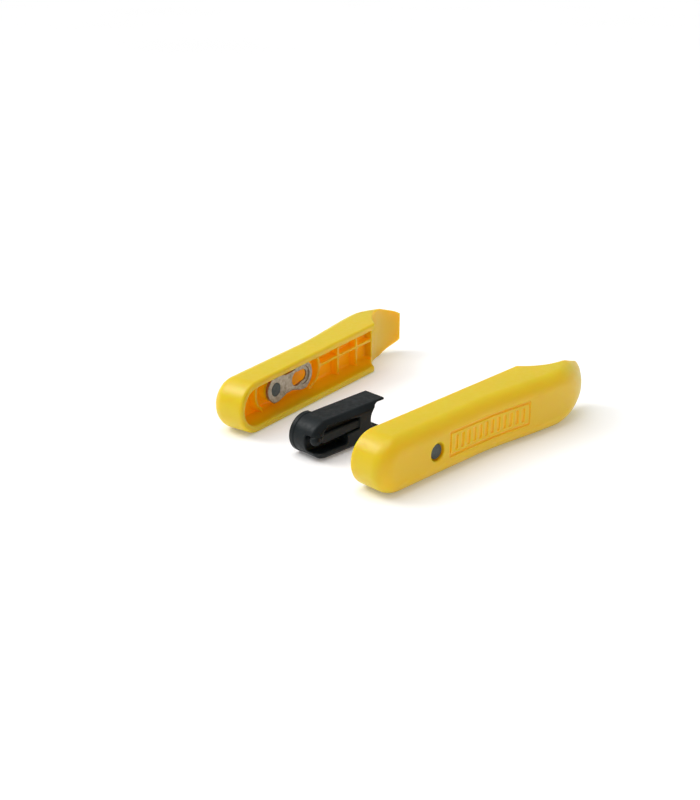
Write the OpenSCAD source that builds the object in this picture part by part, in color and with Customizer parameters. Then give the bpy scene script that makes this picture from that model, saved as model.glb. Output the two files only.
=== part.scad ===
// A pair of pocket tyre levers that close face to face over a moulded insert.
// Each lever stores one half of a bicycle chain's quick link in its cavity.
// The row frame: +X from the round end to the tips, +Y from lever_b to lever_a,
// +Z up, origin in the middle of the edge that lever_b stands on.

/* [Lever] */
// Length from the round end to the tip
lever_len = 85.8; // [82:0.2:90]
// Thickness of one lever near its round end, from its rim to its outer face
lever_t = 11; // [10.6:0.1:11.4]
// How much thicker the lever is at its shoulders, where its back swells
flare = 2.6; // [1.6:0.1:3]
// Height at the round end
near_h = 14.7; // [14.4:0.1:16]
// Height at the shoulders, where the lever is widest
shoulder_h = 16.2; // [15.2:0.1:17]
// Width of the tip's straight end
tip_w = 10.7; // [8:0.1:11.5]
// Wall of the cavity's rim
wall = 2; // [1.8:0.1:2.2]
// Wall left between the cavity's floor and the outer face
floor_t = 3.4; // [3.2:0.1:3.8]
// Radius of the outer face's edges
edge_r = 4; // [2:0.1:4.4]
// Where the closed cavity's body ends and the tip's scoop begins
body_end = 63.4; // [62.4:0.2:64.4]
// Deepest point of the tip's scoop, below the rim
scoop_depth = 6.9; // [6:0.1:7.2]
// Radius of the tip's scoop
scoop_r = 17; // [16:0.5:20]

/* [Ribs] */
// How far the ribs' crests lie below the rim
rib_depth = 5; // [4.9:0.1:5.2]
// Thickness of a rib
rib_t = 0.9; // [0.6:0.1:1.4]

/* [Panel] */
// Length of the decorated panel on the outer face
panel_len = 30.6; // [20:0.1:32]
// Height of the panel
panel_h = 6.8; // [4:0.1:7.4]
// Number of upright grooves in the panel
panel_bars = 12; // [3:1:14]

/* [Quick link] */
// Distance from the pin to the keyhole's seat, the standard half inch
link_pitch = 12.7; // [12.7:0.1:12.7]
// Radius of the side plate's round end at its keyhole
plate_r = 4.05; // [3.9:0.05:4.2]
// Radius of the side plate's round end at its pin
pin_end_r = 3.6; // [3.4:0.05:3.8]
// Thickness of the side plate
plate_t = 1; // [0.9:0.05:1.1]
// Diameter of the link pin
pin_d = 3.9; // [3.5:0.1:4]
// Length of the link pin, its riveted head included
pin_len = 6.6; // [6:0.1:7]
// Distance from the lever's round end to the link pin
pin_x = 19.6; // [19.4:0.1:20.2]
// How far the plate lies tilted in its bay, in degrees
link_tilt = 2; // [0:0.5:2]

/* [Insert] */
// Length of the insert
insert_len = 26.6; // [25:0.1:26.6]
// Height of the insert at its nose
insert_h = 10.5; // [10:0.1:10.5]
// Thickness of the insert, its flange included
insert_t = 9.6; // [9:0.1:9.8]
// Thickness of the flange behind the insert's nose
flange_t = 1; // [0.8:0.1:1.6]
// How much higher the insert is at its tail
insert_rise = 0.4; // [0:0.1:0.4]
// Radius of the concave cut in the insert's tail
tail_r = 3.8; // [3.4:0.1:4]

/* [Layout] */
// Turn that opens lever_a away from lever_b, in degrees
open_angle = 10.6; // [10:0.1:10.8]
// How far the laid-out insert lies from its seat, towards the round ends
insert_dx = 36; // [35.8:0.1:36.6]
// How far the laid-out insert lies from its seat, away from lever_b
insert_dy = 20.8; // [20:0.1:22]

/* [Hidden] */
eps = 0.01;
rest_x = 43;
rest_y = 4;
rim_gap = 0.2;
pole_x = -262.2;
pole_y = 23.3;
near_r = near_h / 2;
shoulder_r = 5;
shoulder_x = 76;
tip_r = 1.3;
bore_gap = 0.07;
plate_depth = 3.75;
pin_z = mid_z(pin_x);
cavity_x = body_end + 5;
cavity_floor = lever_t - floor_t;
rib_pitch = 9.7;
bay_r = 4.8;
bay_x = 36.3;
rib_x = [for (i = [0:1]) 50.6 + i * rib_pitch];
near_arc_r = 6.3;
near_arc_x = 18.2;
boss_r = 3.6;
hook_r = 19;
hook_x = 70.1;
flare_x = 45;
flare_r = mid_z(flare_x);
mouth_r = 2.35;
mouth_depth = 1;
panel_x = 23.9;
panel_drop = -0.6;
groove_w = 0.5;
groove_depth = 0.35;
waist_w = 5.8;
keyhole_x = 9.4;
keyhole_r = 2.05;
seat_r = 1.75;
counterbore_r = 2.7;
counterbore_depth = 0.4;
neck_r = 1.5;
neck_len = 1.2;
neck_z = 4.4;
seat_x = 39.4;
seat_z = 2.65;
nose_r = insert_h / 2;
body_back = insert_t / 2 - flange_t;
lip = 0.2;
nub_x = 25.4;
nub_h = 5.2;
tail_x = 24.2;
tail_z = 6.6;
yellow = [0.9, 0.78, 0.16];
black = [0.13, 0.15, 0.17];
steel = [0.6, 0.58, 0.52];
dark_steel = [0.25, 0.29, 0.3];
$fn = 64;

// Height of the lever's middle line above the edge that it stands on.
function mid_z(x) = near_r + (shoulder_h - near_h) / 2 * (x - near_r) / (shoulder_x - near_r);

// Turns a shape drawn in X and Y, and extruded along Z, to stand in X and Z
// and run along +Y from y.
module stand(y = 0) {
    translate([0, y, 0]) mirror([0, 1, 0]) rotate([90, 0, 0]) children();
}

// A disc that runs from the rim at y = 0 to the outer face, with that face's edge rounded.
module edge_disc(r, e, t = lever_t) {
    stand() rotate_extrude($fn = 32) {
        square([r, t - e]);
        square([r - e, t]);
        translate([r - e, t - e]) intersection() {
            circle(e, $fn = 32);
            square(e);
        }
    }
}

// The lever's outer form before the scoop: an even front part around the round end,
// and a back part that swells to the two shoulders and runs on to the tip's corners.
module lever_blank() {
    hull() {
        translate([near_r, 0, near_r]) edge_disc(near_r, edge_r);
        translate([flare_x, 0, flare_r]) edge_disc(flare_r, edge_r);
    }
    hull() {
        translate([flare_x, 0, flare_r]) edge_disc(flare_r, edge_r);
        for (z = [shoulder_r, shoulder_h - shoulder_r])
            translate([shoulder_x, 0, z]) edge_disc(shoulder_r, edge_r, lever_t + flare);
        for (s = [-1, 1])
            translate([lever_len - tip_r, 0, mid_z(lever_len) + s * (tip_w / 2 - tip_r)])
                edge_disc(tip_r, 1.2, lever_t + flare);
    }
}

// The scoop that thins the lever from the rim side, so that the tip hooks back to the rim.
module scoop() {
    scoop_x = body_end + sqrt(pow(scoop_r, 2) - pow(scoop_r - scoop_depth, 2));
    translate([scoop_x, scoop_depth - scoop_r, -1]) cylinder(r = scoop_r, h = shoulder_h + 2, $fn = 96);
}

// What the outer face loses where it curves in towards the tip's end.
module hook_cut() {
    back_y = lever_t + flare;
    difference() {
        translate([hook_x, back_y - hook_r, -1]) cube([hook_r + 1, hook_r + 1, shoulder_h + 2]);
        translate([hook_x, back_y - hook_r, -2]) cylinder(r = hook_r, h = shoulder_h + 4, $fn = 96);
    }
}

// The cavity's outline: the lever's own outline, one wall further in.
module cavity_outline() {
    translate([near_r, near_r]) circle(near_r - wall);
    polygon([
        [near_r, wall],
        [cavity_x, wall],
        [cavity_x, 2 * mid_z(cavity_x) - wall],
        [near_r, near_h - wall],
    ]);
}

// The ribs' outline: an arc at each end of the link bay, then a grid with a middle rib.
module rib_outline() {
    translate([near_arc_x, mid_z(near_arc_x)]) difference() {
        circle(near_arc_r);
        circle(near_arc_r - rib_t);
        translate([-near_arc_r / 2, -near_h]) square([2 * near_h, 2 * near_h]);
    }
    translate([bay_x, mid_z(bay_x)]) difference() {
        circle(bay_r + rib_t);
        circle(bay_r);
        translate([-2 * near_h, -near_h]) square([2 * near_h, 2 * near_h]);
    }
    for (x = rib_x) translate([x, wall - eps]) square([rib_t, 2 * (mid_z(x) - wall)]);
    translate([bay_x + bay_r + rib_t / 2, mid_z((bay_x + cavity_x) / 2) - rib_t / 2])
        square([cavity_x - bay_x - bay_r, rib_t]);
}

// The panel on the outer face: a grooved frame around a row of upright grooves.
module panel_cut() {
    bar_pitch = (panel_len - 3) / panel_bars;
    bar_w = bar_pitch * 0.45;
    difference() {
        stand(lever_t - 2) linear_extrude(6) translate([panel_x, mid_z(panel_x) - panel_h / 2 - panel_drop]) {
            difference() {
                square([panel_len, panel_h]);
                translate([groove_w, groove_w]) square([panel_len - 2 * groove_w, panel_h - 2 * groove_w]);
            }
            for (i = [0:panel_bars - 1])
                translate([1.5 + i * bar_pitch + (bar_pitch - bar_w) / 2, 1.5]) square([bar_w, panel_h - 3]);
        }
        translate([0, -groove_depth, 0]) lever_blank();
    }
}

// One lever, standing on its lower edge with its rim at y = 0.
module lever() {
    difference() {
        union() {
            difference() {
                lever_blank();
                stand(-1) linear_extrude(cavity_floor + 1) cavity_outline();
            }
            intersection() {
                stand(rib_depth) linear_extrude(cavity_floor - rib_depth + eps) rib_outline();
                stand() linear_extrude(lever_t) offset_free_cavity();
            }
            translate([pin_x, 0, pin_z]) stand(plate_depth + plate_t + 0.05)
                cylinder(r = boss_r, h = floor_t);
        }
        scoop();
        hook_cut();
        translate([pin_x, 0, pin_z]) stand(1) cylinder(r = pin_d / 2 + bore_gap, h = lever_t);
        translate([pin_x, 0, pin_z]) stand(lever_t - mouth_depth) cylinder(r = mouth_r, h = 2 * mouth_depth);
        panel_cut();
    }
}

// The cavity's outline with a hair's overlap into the walls, so that ribs join them.
module offset_free_cavity() {
    translate([near_r, near_r]) circle(near_r - wall + 0.1);
    polygon([
        [near_r, wall - 0.1],
        [cavity_x + 0.1, wall - 0.1],
        [cavity_x + 0.1, 2 * mid_z(cavity_x) - wall + 0.1],
        [near_r, near_h - wall + 0.1],
    ]);
}

// The side plate: two round ends and a waist, with the pin's hole and a keyhole.
module plate() {
    waist_r = (pow(link_pitch / 2, 2) + pow(waist_w / 2, 2) - pow(plate_r, 2)) / (2 * plate_r - waist_w);
    difference() {
        linear_extrude(plate_t) {
            difference() {
                union() {
                    circle(pin_end_r);
                    translate([link_pitch, 0]) circle(plate_r);
                    translate([0, -pin_end_r * 0.8]) square([link_pitch, pin_end_r * 1.6]);
                }
                for (s = [-1, 1])
                    translate([link_pitch / 2, s * (waist_r + waist_w / 2)]) circle(waist_r, $fn = 96);
                circle(d = pin_d);
                translate([keyhole_x, 0]) circle(keyhole_r);
                translate([keyhole_x, -seat_r]) square([link_pitch - keyhole_x, 2 * seat_r]);
                translate([link_pitch, 0]) circle(seat_r);
            }
        }
        translate([link_pitch, 0, -eps]) cylinder(r = counterbore_r, h = counterbore_depth);
    }
}

// The link pin: its flush head at the plate, and the locking neck near its free end.
module pin() {
    rotate_extrude() {
        difference() {
            square([pin_d / 2, pin_len]);
            translate([neck_r, neck_z]) square([pin_d, neck_len]);
        }
    }
}

// Places a link piece in its lever: the plate's outer side faces the rim.
module in_bay() {
    translate([pin_x, 0, pin_z]) rotate([0, -link_tilt, 0]) stand(plate_depth) children();
}

// The insert's side outline: a round nose, a top that rises to the tail, and a tail
// cut in to leave a horn above and a nub below.
module insert_outline() {
    difference() {
        union() {
            translate([nose_r, nose_r]) circle(nose_r);
            polygon([
                [nose_r, 0],
                [insert_len, 0],
                [insert_len, insert_h + insert_rise],
                [nose_r, insert_h],
            ]);
        }
        translate([tail_x, tail_z]) circle(tail_r);
        translate([tail_x, nub_h]) square([tail_r, tail_z + tail_r - nub_h]);
        translate([nub_x, -1]) square([insert_len, nub_h + 1 + eps]);
    }
}

// The insert, standing on its lower edge with its nose at x = 0, centred on y = 0.
module insert_body() {
    front = -insert_t / 2;
    difference() {
        union() {
            stand(front) linear_extrude(insert_t - flange_t) insert_outline();
            stand(body_back - eps) linear_extrude(flange_t + eps) intersection() {
                translate([nose_r, nose_r]) circle(nose_r + lip);
                translate([-1, 0]) square([nose_r + 1.4, insert_h + 1]);
            }
        }
        top_chamfer();
        nose_chamfer();
        window();
        channel();
    }
    tongue();
}

// The bevel along the top edge of the insert's front.
module top_chamfer() {
    translate([nose_r, -insert_t / 2, insert_h]) rotate([45, 0, 0])
        translate([0, -1.1, -1.1]) cube([insert_len, 2.2, 2.2]);
}

// The cone that bevels the nose at the insert's front.
module nose_chamfer() {
    difference() {
        translate([-1, -insert_t / 2 - 1, -1]) cube([nose_r + 1, 3.2, insert_h + 2]);
        translate([nose_r, 0, nose_r]) stand(-insert_t / 2 - 1.01)
            cylinder(r1 = nose_r - 3.2, r2 = nose_r, h = 3.21);
    }
}

// The shallow window around the tongue.
module window() {
    translate([3.4, -insert_t / 2 - 1, 5.2]) cube([12.4, 2.1, 3.6]);
}

// The open channel under the tongue, which runs out through the nose.
module channel() {
    translate([-1, -insert_t / 2 - 1, 2.2]) cube([13, 3.4, 2.8]);
}

// The tongue in the window, with its round end over the channel's mouth.
module tongue() {
    tongue_y = -insert_t / 2 + 1.1;
    translate([2.2, tongue_y, 5.9]) rotate([0, 84, 0]) cylinder(r = 1.1, h = 14, $fn = 32);
    translate([2.2, tongue_y, 5.8]) sphere(r = 1.3, $fn = 32);
}

// The row frame's origin, seen from a lever's own frame.
module in_row() {
    translate([-rest_x, rest_y, 0]) children();
}

// The side of lever_b: the lever's frame turned over its rim.
module side_b() {
    in_row() mirror([0, 1, 0]) children();
}

// The side of lever_a: closed over lever_b, then opened about the far pole.
module side_a() {
    translate([pole_x, pole_y, 0]) rotate(open_angle) translate([-pole_x, -pole_y, 0])
        in_row() translate([0, rim_gap, 0]) children();
}

module lever_a() { color(yellow) side_a() lever(); }
module lever_b() { color(yellow) side_b() lever(); }
module insert() {
    color(black) in_row() translate([seat_x - insert_dx, rim_gap / 2 + insert_dy, 0]) insert_body();
}
module link_plate_a() { color(steel) side_a() in_bay() plate(); }
module link_pin_a() { color(dark_steel) side_a() in_bay() pin(); }
module link_plate_b() { color(steel) side_b() in_bay() plate(); }
module link_pin_b() { color(dark_steel) side_b() in_bay() pin(); }

lever_a();
lever_b();
insert();
link_plate_a();
link_pin_a();
link_plate_b();
link_pin_b();
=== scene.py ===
"""The look of a pair of pocket tyre levers laid apart, with their insert and quick link halves.

Every piece is a smooth closed surface: where a distance-like function of (x, y, z) is zero.
The functions are written in millimetres, in each piece's own frame, and then put in their
place in the row frame.
"""

import math

import bpy
import numpy as np
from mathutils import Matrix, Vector


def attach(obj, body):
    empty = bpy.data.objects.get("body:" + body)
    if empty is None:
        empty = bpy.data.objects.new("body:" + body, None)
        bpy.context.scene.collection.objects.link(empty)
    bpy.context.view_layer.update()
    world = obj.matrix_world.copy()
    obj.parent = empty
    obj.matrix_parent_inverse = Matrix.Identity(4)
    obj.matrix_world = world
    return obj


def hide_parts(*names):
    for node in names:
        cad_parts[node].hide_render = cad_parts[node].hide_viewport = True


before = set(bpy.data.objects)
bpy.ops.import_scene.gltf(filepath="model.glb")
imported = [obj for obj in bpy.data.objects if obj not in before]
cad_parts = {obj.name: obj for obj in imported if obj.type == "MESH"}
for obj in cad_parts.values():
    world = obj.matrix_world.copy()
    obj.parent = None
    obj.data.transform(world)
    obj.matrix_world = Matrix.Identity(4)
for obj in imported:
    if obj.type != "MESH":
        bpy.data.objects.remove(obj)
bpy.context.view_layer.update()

MM = 0.001

# Lever, in its own frame: x from the round end, y from the rim to the outer face, z up.
LEVER_LEN = 86.5  # before the tip's end is rounded
LEVER_T = 11.0  # near the round end
FLARE = (36.0, 34.0, 2.6)  # where the back starts to swell, over what length, how much
NEAR_R = 7.35
SHOULDER = (76.0, 5.0, 16.2)  # x, radius, height of the lever there
TIP_W = 11.6
TIP_R = 1.5
TIP_TRIM = ((85.8, 5.0, 6.3), (0.4, 0.7, 0.65))  # a point and the slope of the corners' planes
TIP_TRIM_R = 2.0
WALL = 2.0
FLOOR = 7.6  # depth of the hollow's floor below the rim
FLOOR_R = 0.9
CAVITY_END = 68.4
CAVITY_END_R = 1.2
BODY_END = 63.4  # where the rim ends
SCOOP_DEPTH = 6.9
SCOOP_R = 17.0
HOOK = (70.1, 19.0)  # where the outer face starts to curve in, and that curve's radius
EDGE_R = 4.0
TIP_EDGE = (2.8, 74.0, 9.0)  # radius at the tip, where it starts to change, over what length
RIM_R = 0.8
RIB_T = 1.0
RIB_DEPTH = 5.0  # of the ribs' crests below the rim
RIBS_X = (51.05, 60.75)
RIB_ROOT_R = 0.4
NEAR_ARC = (18.2, 5.85, 15.1)  # centre, radius, where it ends
FAR_ARC = (36.3, 5.25)
MIDDLE_RIB_X = 41.4  # where the rib along the middle starts
PANEL = (23.9, 30.6, 6.8)  # start, length, height
PANEL_RISE = 0.6  # of the panel's middle over the lever's
PANEL_BARS = 12
PANEL_MARGIN = 1.5
FRAME_W = 0.6
BAR_W = 1.0
GROOVE_DEPTH = 0.3
PIN_X = 19.6
BORE_R = 2.03
BOSS_R = 3.6
BOSS_GAP = 0.05  # between the boss and the link's plate
MOUTH_R = 2.35
MOUTH_DEPTH = 1.0
PLATE_DEPTH = 3.75
TILT = math.radians(2.0)

# Quick link half, in its own frame: u along the plate, v across it, w into the lever.
PITCH = 12.7
PLATE_R = 4.05
PIN_END_R = 3.6
PLATE_T = 1.0
BAR_HALF_H = 2.85
WAIST_R = 2.5
PIN_R = 1.95
PIN_GAP = 0.03
PIN_LEN = 6.6
NECK = (1.5, 5.0, 0.6)  # radius, middle and half length of the groove near the pin's head
KEYHOLE = ((9.3, 0, 2.1), (PITCH, 0, 1.7))
SEAT = (2.7, 0.4)  # radius and depth of the step around the keyhole's round end

# Insert, in its own frame: x from its nose, y from front to back, z up.
INSERT_LEN = 26.6
INSERT_H = 10.5
INSERT_RISE = 0.4
INSERT_T = 9.6
FLANGE_T = 1.0
FLANGE_LIP = 0.2  # how far the flange stands out around the nose
FLANGE_END = 1.4  # how far past the nose's centre it goes
FLANGE_ROOT = 0.5  # how far it reaches into the block
FRONT_BEVEL = (1.3, 0.87)  # width at the front, and how fast it narrows with depth
TAIL = (24.2, 6.6, 3.8)  # x, height and radius of the round cut in the far end
TAIL_SLOT = (7.8, 2.6)  # middle height and half height of the cut's open side
TAIL_NOTCH = (25.4, 5.3)  # past this x and below this height it is open too
WINDOW = ((5.8, 6.9, 2.5), (16.0, 5.5, 0.2), (16.0, 8.4, 0.2), (11.0, 8.0, 1.2))
WINDOW_DEPTH = 1.5
CHANNEL = ((-1.0, 5.1, 2.2), (3.5, 4.4, 2.0), (11.2, 3.1, 0.7), (11.2, 4.2, 0.7), (3.5, 5.0, 2.0))
CHANNEL_DEPTH = 3.8
TONGUE = ((4.0, 6.1, 1.35), (16.0, 5.8, 0.4), (16.0, 7.4, 0.4))
TONGUE_DEPTH = (0.4, 3.0)
KNOB = (1.7, 1.4, 6.0, 1.45)  # x, depth, height, radius

# Where the pieces lie in the row frame.
REST = (43.0, 4.0)  # the row frame's origin in lever_b's frame
RIM_GAP = 0.2  # between the rims of the closed levers
POLE = (-262.2, 23.3)  # the upright axis that lever_a opens about
OPEN = math.radians(10.6)
INSERT_AT = (-39.6, 24.9, 0.0)

# How much orange painted glow and painted shade the places of a lever get, where the hollow's
# floor has 1 and its sides have 0.
# Painted shade: the outer face is made more orange, as on a shaded side.
FACE_PAINTED_SHADE = 0.38
GROOVE_PAINTED_SHADE = 0.35  # painted shade in the panel's grooves, added to the face's
# Painted glow of light through the thinned tip.
TIP_PAINTED_GLOW = 0.4
CREST_PAINTED_GLOW_SHARE = 0.5  # the share of the hollow's painted glow that a rib's crest keeps, of what it would have at its depth
LOW_PAINTED_GLOW = 0.1  # the part of the hollow's painted glow that comes only near its floor

LEVER_STEP = (0.28, 0.4)
INSERT_STEP = (0.2, 0.3)
LINK_STEP = 0.17


# --- Shapes as distance functions ---------------------------------------------------------


def cut(a, b, r):
    """What is inside both a and b, with the edge between them rounded to radius r."""
    corner = np.hypot(np.maximum(a + r, 0), np.maximum(b + r, 0))
    return np.minimum(np.maximum(a, b), -r) + corner


def join(a, b, r):
    """What is inside a or b, with a fillet of radius r in the corner between them."""
    return -cut(-a, -b, r)


def smooth(t):
    """0 below 0, 1 above 1, and an S curve between."""
    t = np.clip(t, 0, 1)
    return t * t * (3 - 2 * t)


def hull(x, z, discs):
    """Distance to the convex hull of discs (x, z, radius), listed counterclockwise."""
    turns = []
    for (x0, z0, r0), (x1, z1, r1) in zip(discs, discs[1:] + discs[:1]):
        dx, dz = x1 - x0, z1 - z0
        turns.append(math.atan2(dz, dx) - math.acos((r0 - r1) / math.hypot(dx, dz)))
    far = None
    for i, (cx, cz, r) in enumerate(discs):
        leave = turns[i]
        sweep = (leave - turns[i - 1]) % (2 * math.pi)
        side = (x - cx) * math.cos(leave) + (z - cz) * math.sin(leave) - r
        angle = (np.arctan2(z - cz, x - cx) - turns[i - 1]) % (2 * math.pi)
        arc = np.where(angle < sweep, np.hypot(x - cx, z - cz) - r, side)
        here = np.maximum(side, arc)
        far = here if far is None else np.maximum(far, here)
    return far


def mid_z(x):
    """Height of the lever's middle line."""
    return NEAR_R + (SHOULDER[2] / 2 - NEAR_R) * (x - NEAR_R) / (SHOULDER[0] - NEAR_R)


def lever_outline(x, z):
    """The lever seen from its side: a round end, widening to the shoulders, and a narrow tip."""
    tip = (LEVER_LEN - TIP_R, mid_z(LEVER_LEN), TIP_W / 2 - TIP_R)
    return hull(x, z, [
        (NEAR_R, NEAR_R, NEAR_R),
        (SHOULDER[0], SHOULDER[1], SHOULDER[1]),
        (tip[0], tip[1] - tip[2], TIP_R),
        (tip[0], tip[1] + tip[2], TIP_R),
        (SHOULDER[0], SHOULDER[2] - SHOULDER[1], SHOULDER[1]),
    ])


def hollow(x, y, z):
    """The lever's hollow, one wall inside its outline: below 0 in the hollow."""
    side = cut(lever_outline(x, z) + WALL, x - CAVITY_END, CAVITY_END_R)
    return cut(side, y - FLOOR, FLOOR_R)


def ribs(x, y, z):
    """The ribs on the hollow's floor: two arcs around the link, and a small grid."""
    half = RIB_T / 2
    near_x, near_r, near_end = NEAR_ARC
    far_x, far_r = FAR_ARC
    near = np.abs(np.hypot(x - near_x, z - mid_z(near_x)) - near_r) - half
    near = cut(near, x - near_end, 0.1)
    far = np.abs(np.hypot(x - far_x, z - mid_z(far_x)) - far_r) - half
    far = cut(far, far_x - x, 0.1)
    middle = np.maximum(np.abs(z - mid_z(x)) - half, MIDDLE_RIB_X - x)
    grid = join(middle, far, RIB_ROOT_R)
    for rib_x in RIBS_X:
        grid = join(grid, np.abs(x - rib_x) - half, RIB_ROOT_R)
    return cut(np.minimum(grid, near), RIB_DEPTH - y, 0.35)


def panel(x, z):
    """The grooved frame and the row of upright grooves on the outer face."""
    start, length, height = PANEL
    cx, cz = start + length / 2, mid_z(start) + PANEL_RISE
    edge = cut(np.abs(x - cx) - length / 2, np.abs(z - cz) - height / 2, 0.5)
    groove = np.abs(edge + FRAME_W / 2) - FRAME_W / 2
    row = length - 2 * PANEL_MARGIN
    pitch = row / PANEL_BARS
    place = (x - start - PANEL_MARGIN) % pitch - pitch / 2
    bar = cut(np.abs(place) - BAR_W / 2, np.abs(z - cz) - (height / 2 - PANEL_MARGIN), 0.3)
    bar = np.maximum(bar, np.abs(x - cx) - row / 2)
    return np.minimum(groove, bar)


def back(x):
    """Height of the lever's outer face over its rim, before the tip curves in."""
    return LEVER_T + FLARE[2] * smooth((x - FLARE[0]) / FLARE[1])


def scoop(x, y):
    """The round cut that thins the lever's tip from the rim side: below 0 outside it."""
    centre = BODY_END + math.sqrt(SCOOP_R**2 - (SCOOP_R - SCOOP_DEPTH) ** 2)
    return SCOOP_R - np.hypot(x - centre, y - (SCOOP_DEPTH - SCOOP_R))


def lever_blank(x, y, z):
    """The lever with no hollow: rounded over the outer face, and trimmed at its tip."""
    outline = lever_outline(x, z)
    curve = np.hypot(x - HOOK[0], y - (back(HOOK[0]) - HOOK[1])) - HOOK[1]
    face = np.where(x < HOOK[0], y - back(x), curve)
    tip_edge_r, start, length = TIP_EDGE
    body = cut(outline, face, EDGE_R - (EDGE_R - tip_edge_r) * smooth((x - start) / length))
    (px, py, pz), (nx, ny, nz) = TIP_TRIM
    corners = nx * (x - px) + ny * (y - py) + nz * (np.abs(z - mid_z(x)) - pz)
    body = cut(body, corners, TIP_TRIM_R)
    body = cut(body, -y, RIM_R)
    return cut(body, scoop(x, y), 0.45)


def lever_shape(x, y, z):
    """A lever: the hollowed blank with its ribs, the pin's boss and bore, and the panel."""
    body = cut(lever_blank(x, y, z), -hollow(x, y, z), 0.6)
    inner = cut(ribs(x, y, z), lever_outline(x, z) + WALL / 2, 0.2)
    inner = cut(inner, x - CAVITY_END - 0.5, 0.2)
    pin = np.hypot(x - PIN_X, z - mid_z(PIN_X))
    boss = cut(pin - BOSS_R, PLATE_DEPTH + PLATE_T + BOSS_GAP - y, 0.2)
    inner = np.maximum(np.minimum(inner, boss), y - FLOOR - 0.8)
    body = join(body, inner, RIB_ROOT_R)
    body = cut(body, BORE_R - pin, 0.1)
    mouth = cut(pin - MOUTH_R, LEVER_T - MOUTH_DEPTH - y, 0.1)
    body = cut(body, -mouth, 0.45)
    engraving = np.maximum(panel(x, z), back(x) - GROOVE_DEPTH - y)
    return cut(body, -engraving, 0.12)


def insert_block(x, y, z):
    """The insert's block with a bevelled front, a cut-in tail and the flange at its back."""
    front, rear = -INSERT_T / 2, INSERT_T / 2 - FLANGE_T
    r = INSERT_H / 2
    end_r = 0.3
    outline = hull(x, z, [
        (r, r, r),
        (INSERT_LEN - end_r, end_r, end_r),
        (INSERT_LEN - end_r, INSERT_H + INSERT_RISE - end_r, end_r),
    ])
    tail_x, tail_z, tail_r = TAIL
    tail = np.hypot(x - tail_x, z - tail_z) - tail_r
    tail = np.minimum(tail, np.maximum(tail_x - x, np.abs(z - TAIL_SLOT[0]) - TAIL_SLOT[1]))
    tail = np.minimum(tail, np.maximum(TAIL_NOTCH[0] - x, z - TAIL_NOTCH[1]))
    body = cut(outline, -tail, 0.3)
    body = cut(body, y - rear, 0.5)
    body = cut(body, front - y, 0.3)
    width, rise = FRONT_BEVEL
    body = cut(body, (outline + width + rise * (front - y)) / math.hypot(1, rise), 0.2)
    flange = cut(np.hypot(x - r, z - r) - r - FLANGE_LIP, x - r - FLANGE_END, 0.25)
    middle, half = rear + (FLANGE_T - FLANGE_ROOT) / 2, (FLANGE_T + FLANGE_ROOT) / 2
    flange = cut(flange, np.abs(y - middle) - half, 0.25)
    return join(body, flange, 0.15)


def tongue(x, y, z):
    """The tongue in the insert's front, with the knob at its free end."""
    front = -INSERT_T / 2
    low, high = TONGUE_DEPTH
    depth = np.abs(y - front - (low + high) / 2) - (high - low) / 2
    bar = cut(hull(x, z, TONGUE), depth, 0.4)
    knob_x, knob_y, knob_z, knob_r = KNOB
    reach = (x - knob_x) ** 2 + (y - front - knob_y) ** 2 + (z - knob_z) ** 2
    return join(bar, np.sqrt(reach) - knob_r, 0.6)


def insert_shape(x, y, z):
    """The insert: the block, a window and a channel cut in its front, and the tongue."""
    depth = y + INSERT_T / 2
    window = cut(hull(x, z, WINDOW), depth - WINDOW_DEPTH, 0.3)
    channel = cut(hull(x, z, CHANNEL), depth - CHANNEL_DEPTH, 0.6)
    body = cut(insert_block(x, y, z), -window, 0.2)
    body = cut(body, -channel, 0.3)
    body = join(body, tongue(x, y, z), 0.15)
    return cut(body, -z, 0.15)


def plate_shape(u, w, v):
    """A side plate: two round ends on a waisted bar, with the pin's hole and the keyhole."""
    ends = np.minimum(np.hypot(u, v) - PIN_END_R, np.hypot(u - PITCH, v) - PLATE_R)
    bar = np.maximum(np.abs(v) - BAR_HALF_H, np.abs(u - PITCH / 2) - PITCH / 2)
    side = join(ends, bar, WAIST_R)
    plate = cut(side, np.abs(w - PLATE_T / 2) - PLATE_T / 2, 0.2)
    plate = cut(plate, PIN_R + PIN_GAP - np.hypot(u, v), 0.08)
    plate = cut(plate, -hull(u, v, KEYHOLE), 0.12)
    seat_r, seat_depth = SEAT
    seat = np.maximum(np.hypot(u - PITCH, v) - seat_r, w - seat_depth)
    return cut(plate, -seat, 0.08)


def pin_shape(u, w, v):
    """A pin with a shallow groove near its head."""
    radius = np.hypot(u, v)
    pin = cut(radius - PIN_R, np.abs(w - PIN_LEN / 2) - PIN_LEN / 2, 0.15)
    neck_r, neck_w, neck_half = NECK
    neck = cut(neck_r - radius, np.abs(w - neck_w) - neck_half, 0.1)
    return cut(pin, -neck, 0.1)


# --- From a distance function to a mesh ---------------------------------------------------


def gradient(shape, p, h=0.004):
    """The function's slope at each point, as unit vectors, and its value there."""
    slopes = []
    for axis in range(3):
        step = np.zeros(3)
        step[axis] = h
        ahead = shape(*(p + step).T)
        behind = shape(*(p - step).T)
        slopes.append((ahead - behind) / (2 * h))
    slope = np.stack(slopes, 1)
    size = np.linalg.norm(slope, axis=1, keepdims=True) + 1e-9
    return slope / size, shape(*p.T)[:, None] / size


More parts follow.
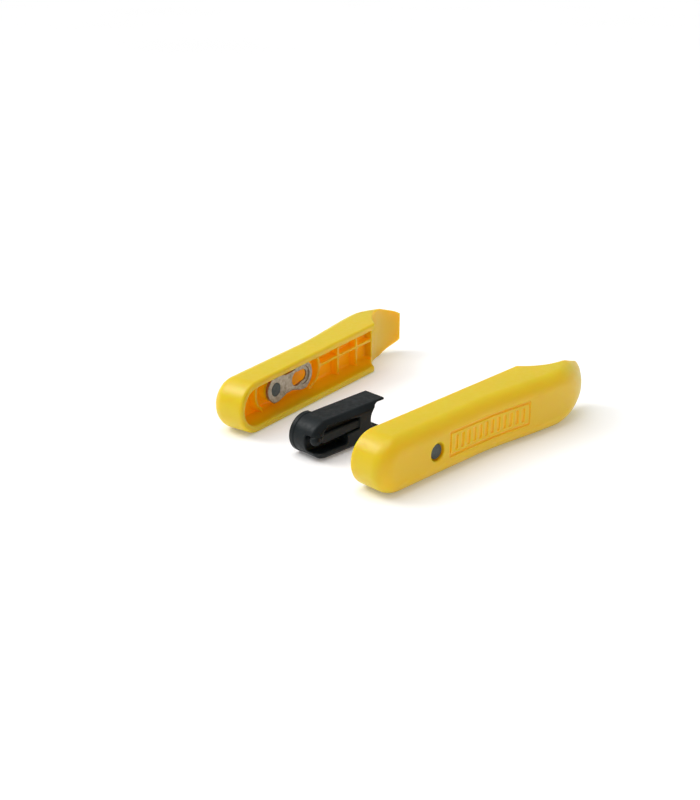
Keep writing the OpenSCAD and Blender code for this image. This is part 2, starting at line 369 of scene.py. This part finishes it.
def surface(shape, low, high, step):
    """Points, quads and normals of the closed surface where shape(x, y, z) is zero.

    Each grid cell that the surface crosses gets one point, and each grid edge that it
    crosses gets one quad between the four cells around it. The points are then pulled
    on to the surface.
    """
    axes = [np.arange(a - 1.5 * step, b + 2 * step, step) for a, b in zip(low, high)]
    x, y, z = np.meshgrid(*axes, indexing="ij", sparse=True)
    f = np.array(np.broadcast_to(shape(x, y, z), [len(a) for a in axes]))
    inside = f < 0
    cells = tuple(n - 1 for n in f.shape)
    corners = [(i, j, k) for i in (0, 1) for j in (0, 1) for k in (0, 1)]

    def at(field, c):
        return field[c[0]:c[0] + cells[0], c[1]:c[1] + cells[1], c[2]:c[2] + cells[2]]

    count = sum(at(inside, c).astype(np.int8) for c in corners)
    active = (count > 0) & (count < 8)
    index = np.full(cells, -1)
    index[active] = np.arange(active.sum())
    total = np.zeros((active.sum(), 3))
    hits = np.zeros((active.sum(), 1))
    for c in corners:
        for axis in range(3):
            if c[axis] == 1:
                continue
            d = tuple(v + (n == axis) for n, v in enumerate(c))
            f0, f1 = at(f, c)[active], at(f, d)[active]
            crossed = (f0 < 0) != (f1 < 0)
            part = np.where(crossed, f0 / np.where(crossed, f0 - f1, 1), 0)
            point = np.tile(np.array(c, float), (len(f0), 1))
            point[:, axis] += part
            total += point * crossed[:, None]
            hits += crossed[:, None]
    origin = np.array([a[0] for a in axes])
    p = origin + step * (np.stack(np.nonzero(active), 1) + total / hits)

    quads = []
    for axis in range(3):
        b, c = (axis + 1) % 3, (axis + 2) % 3
        first = [slice(1, -1)] * 3
        first[axis] = slice(0, -1)
        second = [slice(1, -1)] * 3
        second[axis] = slice(1, None)
        one, two = inside[tuple(first)], inside[tuple(second)]
        edge = np.stack(np.nonzero(one != two), 1)
        edge[:, b] += 1
        edge[:, c] += 1
        ring = []
        for db, dc in ((1, 1), (0, 1), (0, 0), (1, 0)):
            cell = edge.copy()
            cell[:, b] -= db
            cell[:, c] -= dc
            ring.append(index[tuple(cell.T)])
        ring = np.stack(ring, 1)
        outward = inside[tuple(edge.T)]
        ring[~outward] = ring[~outward][:, ::-1]
        quads.append(ring)
    for _ in range(4):
        normal, distance = gradient(shape, p)
        p = p - normal * np.clip(distance, -0.5 * step, 0.5 * step)
    return p, np.concatenate(quads), gradient(shape, p)[0]


# --- Frames -------------------------------------------------------------------------------


def turn_open(p):
    """Turns points of the closed lever_a to where it lies open."""
    x, y = p[:, 0] - POLE[0], p[:, 1] - POLE[1]
    c, s = math.cos(OPEN), math.sin(OPEN)
    return np.stack([POLE[0] + c * x - s * y, POLE[1] + s * x + c * y, p[:, 2]], 1)


def place_a(p):
    """From a lever's own frame to lever_a's place."""
    return turn_open(p + np.array([-REST[0], REST[1] + RIM_GAP, 0]))


def place_b(p):
    """From a lever's own frame to lever_b's place: turned over its rim."""
    return p * np.array([1, -1, 1]) + np.array([-REST[0], REST[1], 0])


def place_insert(p):
    """From the insert's own frame to its place between the levers."""
    return p + np.array(INSERT_AT)


def in_bay(p):
    """From a link half's own frame to its lever's."""
    u, w, v = p.T
    c, s = math.cos(TILT), math.sin(TILT)
    x = PIN_X + c * u - s * v
    return np.stack([x, PLATE_DEPTH + w, mid_z(PIN_X) + s * u + c * v], 1)


def add_piece(name, made, place, mirrored=False):
    """A smooth mesh object of the points, quads and normals, put in place."""
    p, quads, normals = made
    where = place(p)
    facing = place(p + normals) - where
    if mirrored:
        quads = quads[:, ::-1]
    mesh = bpy.data.meshes.new(name)
    mesh.from_pydata((where * MM).tolist(), [], quads.tolist())
    mesh.polygons.foreach_set("use_smooth", np.ones(len(quads), bool))
    mesh.normals_split_custom_set_from_vertices(facing.tolist())
    obj = bpy.data.objects.new(name, mesh)
    bpy.context.collection.objects.link(obj)
    return obj


def add_attribute(obj, name, values):
    """A number at each vertex, for the material to read."""
    layer = obj.data.attributes.new(name, "FLOAT", "POINT")
    layer.data.foreach_set("value", np.asarray(values, np.float32))


# --- Materials ----------------------------------------------------------------------------


class Nodes:
    """A short way to add shader nodes to one material."""

    def __init__(self, name):
        self.material = bpy.data.materials.new(name)
        self.material.use_nodes = True
        self.tree = self.material.node_tree
        self.shader = self.tree.nodes["Principled BSDF"]

    def add(self, kind, **inputs):
        node = self.tree.nodes.new(kind)
        for key, value in inputs.items():
            node.inputs[key.replace("_", " ")].default_value = value
        return node

    def link(self, a, b):
        self.tree.links.new(a, b)

    def noise(self, scale, detail, roughness=0.5):
        """Soft random spots in the object's own space, scale of them in a metre."""
        coords = self.add("ShaderNodeTexCoord")
        node = self.add("ShaderNodeTexNoise", Scale=scale, Detail=detail, Roughness=roughness)
        self.link(coords.outputs["Object"], node.inputs["Vector"])
        return node.outputs["Fac"]

    def spread(self, value, low, high):
        """value, from 0.3 to 0.7, mapped to low to high."""
        node = self.add("ShaderNodeMapRange")
        node.inputs["From Min"].default_value = 0.3
        node.inputs["From Max"].default_value = 0.7
        node.inputs["To Min"].default_value = low
        node.inputs["To Max"].default_value = high
        self.link(value, node.inputs["Value"])
        return node.outputs["Result"]

    def mix(self, factor, a, b):
        """a where factor is 0, b where it is 1. Each is a colour or a socket."""
        node = self.tree.nodes.new("ShaderNodeMix")
        node.data_type = "RGBA"
        for socket, value in ((node.inputs[6], a), (node.inputs[7], b)):
            if isinstance(value, tuple):
                socket.default_value = (*value, 1)
            else:
                self.link(value, socket)
        self.link(factor, node.inputs[0])
        return node.outputs[2]

    def bump(self, *layers):
        """Layers of (height, distance in metres), added one over the other."""
        last = None
        for height, distance in layers:
            node = self.add("ShaderNodeBump", Strength=1.0, Distance=distance)
            self.link(height, node.inputs["Height"])
            if last:
                self.link(last.outputs["Normal"], node.inputs["Normal"])
            last = node
        self.link(last.outputs["Normal"], self.shader.inputs["Normal"])


def yellow_plastic():
    """Translucent yellow nylon: it looks orange where light has gone deep into it, and this
    orange, with a faint glow, is painted on from a vertex attribute of painted glow and painted
    shade.
    """
    m = Nodes("yellow_plastic")
    glow_shade_attribute = m.add("ShaderNodeAttribute")
    glow_shade_attribute.attribute_name = "painted_glow_and_shade"
    cloud = m.spread(m.noise(60, 4), 0.0, 1.0)
    yellow = m.mix(cloud, (0.70, 0.535, 0.003), (0.665, 0.505, 0.002))
    # Painted glow and painted shade: the base colour turns orange where the attribute is high.
    colour = m.mix(glow_shade_attribute.outputs["Fac"], yellow, (0.86, 0.45, 0.002))
    m.link(colour, m.shader.inputs["Base Color"])
    # A painted glow, given out where the attribute of painted glow and shade is high: mixed
    # twice, so that it grows with the square of that attribute.
    glow = m.mix(glow_shade_attribute.outputs["Fac"], (0.0, 0.0, 0.0), (0.13, 0.055, 0.0))
    glow = m.mix(glow_shade_attribute.outputs["Fac"], (0.0, 0.0, 0.0), glow)
    m.link(glow, m.shader.inputs["Emission Color"])
    m.shader.inputs["Emission Strength"].default_value = 1.0
    m.link(m.spread(m.noise(700, 4), 0.31, 0.42), m.shader.inputs["Roughness"])
    m.shader.inputs["Subsurface Weight"].default_value = 1.0
    m.shader.inputs["Subsurface Radius"].default_value = (1.0, 0.5, 0.08)
    m.shader.inputs["Subsurface Scale"].default_value = 0.003
    m.shader.inputs["Specular IOR Level"].default_value = 0.4
    m.bump((m.noise(4000, 2), 0.000004), (m.noise(350, 3), 0.00002))
    return m.material


def dark_plastic():
    """Charcoal glass-filled nylon with a fine matt skin."""
    m = Nodes("dark_plastic")
    cloud = m.spread(m.noise(250, 5), 0.0, 1.0)
    colour = m.mix(cloud, (0.003, 0.0052, 0.006), (0.007, 0.011, 0.0125))
    m.link(colour, m.shader.inputs["Base Color"])
    m.link(m.spread(m.noise(900, 5), 0.34, 0.52), m.shader.inputs["Roughness"])
    m.shader.inputs["Specular IOR Level"].default_value = 0.17
    m.bump((m.noise(3500, 3), 0.00001), (m.noise(500, 4), 0.00004))
    return m.material


def tumbled_steel(name, light, dark, rough):
    """Steel tumbled to a soft grey, with fine pits and stains."""
    m = Nodes(name)
    stain = m.spread(m.noise(900, 6, 0.65), 0.0, 1.0)
    m.link(m.mix(stain, light, dark), m.shader.inputs["Base Color"])
    m.link(m.spread(m.noise(2500, 4), rough - 0.08, rough + 0.12), m.shader.inputs["Roughness"])
    m.shader.inputs["Metallic"].default_value = 0.85
    m.bump((m.noise(6000, 3), 0.000008), (m.noise(1500, 4), 0.00002))
    return m.material


def floor_material():
    """A white floor with no shine."""
    m = Nodes("studio_floor")
    tone = m.spread(m.noise(3, 2), 0.0, 1.0)
    m.link(m.mix(tone, (0.93, 0.93, 0.93), (0.95, 0.95, 0.95)), m.shader.inputs["Base Color"])
    m.shader.inputs["Roughness"].default_value = 0.7
    m.shader.inputs["Specular IOR Level"].default_value = 0.0
    m.shader.inputs["Emission Color"].default_value = (1.0, 1.0, 1.0, 1.0)
    m.shader.inputs["Emission Strength"].default_value = 0.12
    return m.material


# --- The pieces ---------------------------------------------------------------------------


def painted_glow_and_shade(p):
    """How much painted glow and painted shade a lever's points get, as orange: most deep in the
    hollow, and least on its sides.
    """
    x, y, z = p.T
    outline = lever_outline(x, z)
    # Painted glow of light bouncing deep in the hollow, less on the ribs' crests.
    inside = smooth((0.35 - (outline + WALL)) / 0.5)
    inside = inside * smooth((CAVITY_END + 0.4 - x) / 0.8) * (y < FLOOR + 0.5)
    deep = (1 - LOW_PAINTED_GLOW) * smooth((y + 0.3) / 4.5) + LOW_PAINTED_GLOW * smooth((y - 5.3) / 1.6)
    crest = smooth((RIB_DEPTH + 0.45 - y) / 0.3) * smooth((-0.4 - WALL - outline) / 0.4)
    deep = deep * (1 - (1 - CREST_PAINTED_GLOW_SHARE) * crest)
    # Painted shade: the outer face is made more orange, as on a shaded side.
    face = FACE_PAINTED_SHADE * smooth((y - back(x) + 3.5) / 3.5)
    # Painted shade in the panel's grooves.
    groove_shade = GROOVE_PAINTED_SHADE * (panel(x, z) < 0.15) * (y > back(x) - 1.2)
    # Painted glow of light through the thinned tip.
    tip_glow = TIP_PAINTED_GLOW * smooth((x - 68.6) / 2.5) * (np.abs(scoop(x, y)) < 0.5)
    return inside * deep + (1 - inside) * (face + groove_shade + tip_glow)


def build():
    """Makes each shape once, puts the pieces in place, and ties them to their bodies."""
    quick = bool(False)
    yellow, dark = yellow_plastic(), dark_plastic()
    plate_steel = tumbled_steel("plate_steel", (0.50, 0.46, 0.38), (0.20, 0.17, 0.13), 0.42)
    pin_steel = tumbled_steel("pin_steel", (0.085, 0.10, 0.10), (0.05, 0.06, 0.06), 0.40)

    high = (LEVER_LEN, LEVER_T + FLARE[2], 16.3)
    lever = surface(lever_shape, (0, 0, 0), high, LEVER_STEP[quick])
    half = INSERT_T / 2
    insert = surface(insert_shape, (0, -half, 0), (INSERT_LEN, half, 11.0), INSERT_STEP[quick])
    plate = surface(plate_shape, (-4.1, 0, -4.1), (16.8, PLATE_T, 4.1), LINK_STEP)
    pin = surface(pin_shape, (-2, 0, -2), (2, PIN_LEN, 2), LINK_STEP)

    pieces = []
    for side, place, mirrored in (("a", place_a, False), ("b", place_b, True)):
        body = add_piece("lever_" + side + "_moulding", lever, place, mirrored)
        # Painted glow and painted shade at each point, for the yellow material to read.
        add_attribute(body, "painted_glow_and_shade", painted_glow_and_shade(lever[0]))
        pieces.append((body, "lever_" + side, "lever_" + side, "lever_plastic", yellow))

        def in_place(p, place=place):
            return place(in_bay(p))

        half = "link_half_" + side
        made = add_piece("link_" + side + "_plate", plate, in_place, mirrored)
        pieces.append((made, half, "link_plate_" + side, "plate_steel", plate_steel))
        made = add_piece("link_" + side + "_pin", pin, in_place, mirrored)
        pieces.append((made, half, "link_pin_" + side, "pin_steel", pin_steel))
    made = add_piece("insert_moulding", insert, place_insert)
    pieces.append((made, "insert", "insert", "insert_plastic", dark))

    for obj, body, node, slot, material in pieces:
        obj.data.materials.append(material)
        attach(obj, body)
        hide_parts(node)


# --- Studio -------------------------------------------------------------------------------


def add_floor():
    """The studio's floor, so wide that its edge is never seen."""
    size = 30.0
    mesh = bpy.data.meshes.new("studio_floor")
    corners = [(-size, -size, 0), (size, -size, 0), (size, size, 0), (-size, size, 0)]
    mesh.from_pydata(corners, [], [(0, 1, 2, 3)])
    floor = bpy.data.objects.new("studio_floor", mesh)
    floor.data.materials.append(floor_material())
    bpy.context.collection.objects.link(floor)


def add_light(name, at, aim, size, power):
    """A square white softbox at one point, aimed at another, in metres."""
    lamp = bpy.data.lights.new(name, "AREA")
    lamp.shape = "SQUARE"
    lamp.size = size
    lamp.energy = power
    obj = bpy.data.objects.new(name, lamp)
    obj.location = at
    obj.rotation_euler = (Vector(aim) - Vector(at)).to_track_quat("-Z", "Y").to_euler()
    bpy.context.collection.objects.link(obj)


def add_camera():
    """The camera: its place in metres, its turn from the x axis and its tilt down."""
    turn, down = math.radians(45.78), math.radians(22.21)
    look = (math.cos(turn) * math.cos(down), math.sin(turn) * math.cos(down), -math.sin(down))
    camera = bpy.data.cameras.new("camera")
    camera.lens = 48.38
    camera.sensor_width = 36
    camera.clip_start = 0.005
    obj = bpy.data.objects.new("camera", camera)
    obj.location = (-0.20471, -0.16244, 0.11843)
    obj.rotation_euler = Vector(look).to_track_quat("-Z", "Y").to_euler()
    bpy.context.collection.objects.link(obj)
    bpy.context.scene.camera = obj


def add_world():
    """An even pale sky that is brighter in a low band, where it meets the white floor."""
    world = bpy.data.worlds.new("studio")
    world.use_nodes = True
    tree = world.node_tree
    background = tree.nodes["Background"]
    background.inputs["Color"].default_value = (1, 1, 1, 1)
    coords = tree.nodes.new("ShaderNodeTexCoord")
    split = tree.nodes.new("ShaderNodeSeparateXYZ")
    band = tree.nodes.new("ShaderNodeMapRange")
    band.inputs["From Min"].default_value = 0.05
    band.inputs["From Max"].default_value = 0.26
    band.inputs["To Min"].default_value = 1.0
    band.inputs["To Max"].default_value = 0.47
    tree.links.new(coords.outputs["Generated"], split.inputs["Vector"])
    tree.links.new(split.outputs["Z"], band.inputs["Value"])
    tree.links.new(band.outputs["Result"], background.inputs["Strength"])
    bpy.context.scene.world = world
    bpy.context.scene.view_settings.view_transform = "Standard"


def add_sun(name, toward, spread, strength):
    """Soft light from one direction, as even over the floor as a large ceiling of light."""
    lamp = bpy.data.lights.new(name, "SUN")
    lamp.angle = math.radians(spread)
    lamp.energy = strength
    obj = bpy.data.objects.new(name, lamp)
    obj.rotation_euler = Vector(toward).to_track_quat("-Z", "Y").to_euler()
    bpy.context.collection.objects.link(obj)


build()
add_floor()
add_camera()
add_world()
add_sun("ceiling", (0.2, -0.25, -1.0), 60, 1.5)
add_light("back_softbox", (-0.27, 0.42, 0.42), (-0.02, 0.02, 0.0), 0.25, 1.3)
